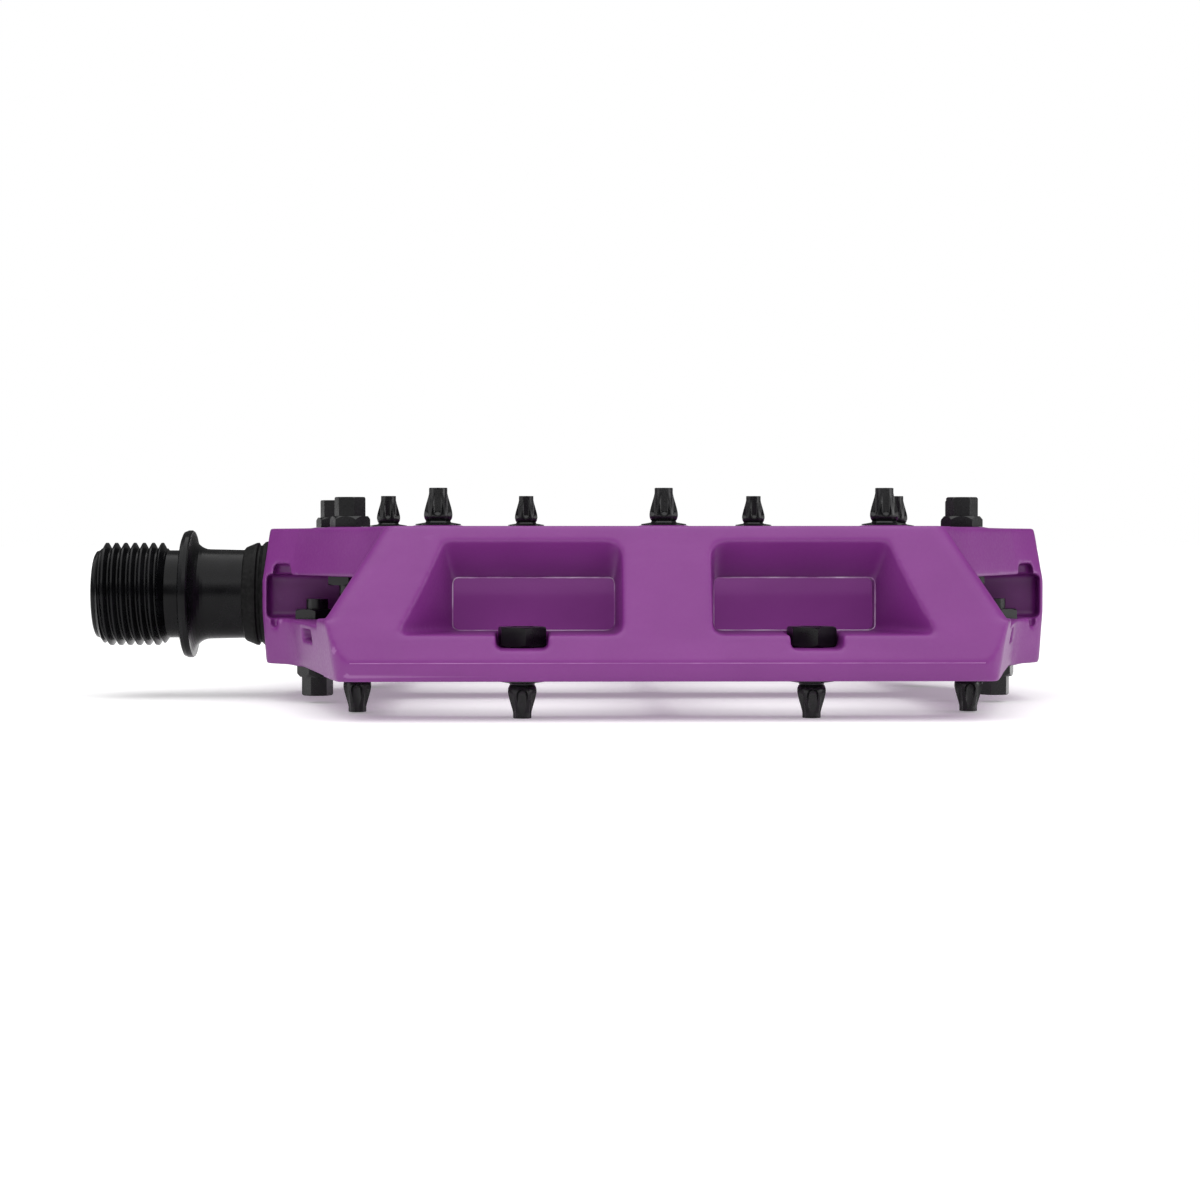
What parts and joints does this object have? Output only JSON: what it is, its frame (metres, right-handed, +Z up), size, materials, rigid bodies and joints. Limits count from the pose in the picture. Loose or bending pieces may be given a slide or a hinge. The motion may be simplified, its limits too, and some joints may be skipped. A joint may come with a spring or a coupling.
{
  "type": "flat pedal",
  "caption": "Moulded flat bicycle pedal with studded concave faces, turning on a threaded spindle with an inboard bush and an outboard ball bearing.",
  "frame": {"origin": "where the spindle axis crosses the flange face that seats on the crank arm", "axes": "+X outboard along the spindle from the crank to the end cap, +Z up out of the platform's upper face, +Y to the rear bar"},
  "size_m": [0.1293, 0.104, 0.0282],
  "materials": {
    "purple_nylon": "matte",
    "spindle_black": "satin",
    "pin_black": "satin",
    "nut_black": "satin",
    "black_rubber": "matte",
    "black_plastic": "matte",
    "nylon_insert": "satin",
    "bronze": "satin",
    "bearing_steel": "polished",
    "plain_steel": "brushed"
  },
  "bodies": {
    "spindle": {"spindle": "spindle_black", "lip_seal": "black_rubber", "bearing_inner_race": "bearing_steel", "lock_washer": "plain_steel", "locknut": "plain_steel", "locknut_insert": "nylon_insert"},
    "platform": {"platform_body": "purple_nylon", "spindle_bush": "bronze", "bearing_outer_race": "bearing_steel", "bearing_shield_inboard": "black_rubber", "bearing_shield_outboard": "black_rubber", "end_cap": "black_plastic", "cap_o_ring": "black_rubber", "upper_bar_pin_1": "pin_black", "upper_bar_pin_2": "pin_black", "upper_bar_pin_3": "pin_black", "upper_bar_pin_4": "pin_black", "upper_bar_pin_5": "pin_black", "upper_corner_pin_1": "pin_black", "upper_corner_pin_2": "pin_black", "upper_side_pin_1": "pin_black", "upper_side_pin_2": "pin_black", "upper_side_pin_3": "pin_black", "upper_side_pin_4": "pin_black", "lower_bar_pin_1": "pin_black", "lower_bar_pin_2": "pin_black", "lower_bar_pin_3": "pin_black", "lower_bar_pin_4": "pin_black", "lower_bar_pin_5": "pin_black", "lower_corner_pin_1": "pin_black", "lower_corner_pin_2": "pin_black", "lower_side_pin_1": "pin_black", "lower_side_pin_2": "pin_black", "lower_side_pin_3": "pin_black", "lower_side_pin_4": "pin_black", "upper_bar_nut_1": "nut_black", "upper_bar_nut_2": "nut_black", "upper_bar_nut_3": "nut_black", "upper_bar_nut_4": "nut_black", "upper_bar_nut_5": "nut_black", "upper_corner_nut_1": "nut_black", "upper_corner_nut_2": "nut_black", "upper_side_nut_1": "nut_black", "upper_side_nut_2": "nut_black", "upper_side_nut_3": "nut_black", "upper_side_nut_4": "nut_black", "lower_bar_nut_1": "nut_black", "lower_bar_nut_2": "nut_black", "lower_bar_nut_3": "nut_black", "lower_bar_nut_4": "nut_black", "lower_bar_nut_5": "nut_black", "lower_corner_nut_1": "nut_black", "lower_corner_nut_2": "nut_black", "lower_side_nut_1": "nut_black", "lower_side_nut_2": "nut_black", "lower_side_nut_3": "nut_black", "lower_side_nut_4": "nut_black"},
    "bearing_cage": {"bearing_cage": "nylon_insert", "bearing_balls": "bearing_steel"}
  },
  "joints": [
    {"name": "platform_spin", "type": "hinge", "parent": "spindle", "child": "platform", "pos_m": [0.06455, 0, 0], "axis": [1, 0, 0], "continuous": true},
    {"name": "cage_spin", "type": "hinge", "parent": "spindle", "child": "bearing_cage", "pos_m": [0.1055, 0, 0], "axis": [1, 0, 0], "continuous": true}
  ],
  "couplings": [
    {"joint": "cage_spin", "follows": "platform_spin", "ratio": 0.62526}
  ]
}
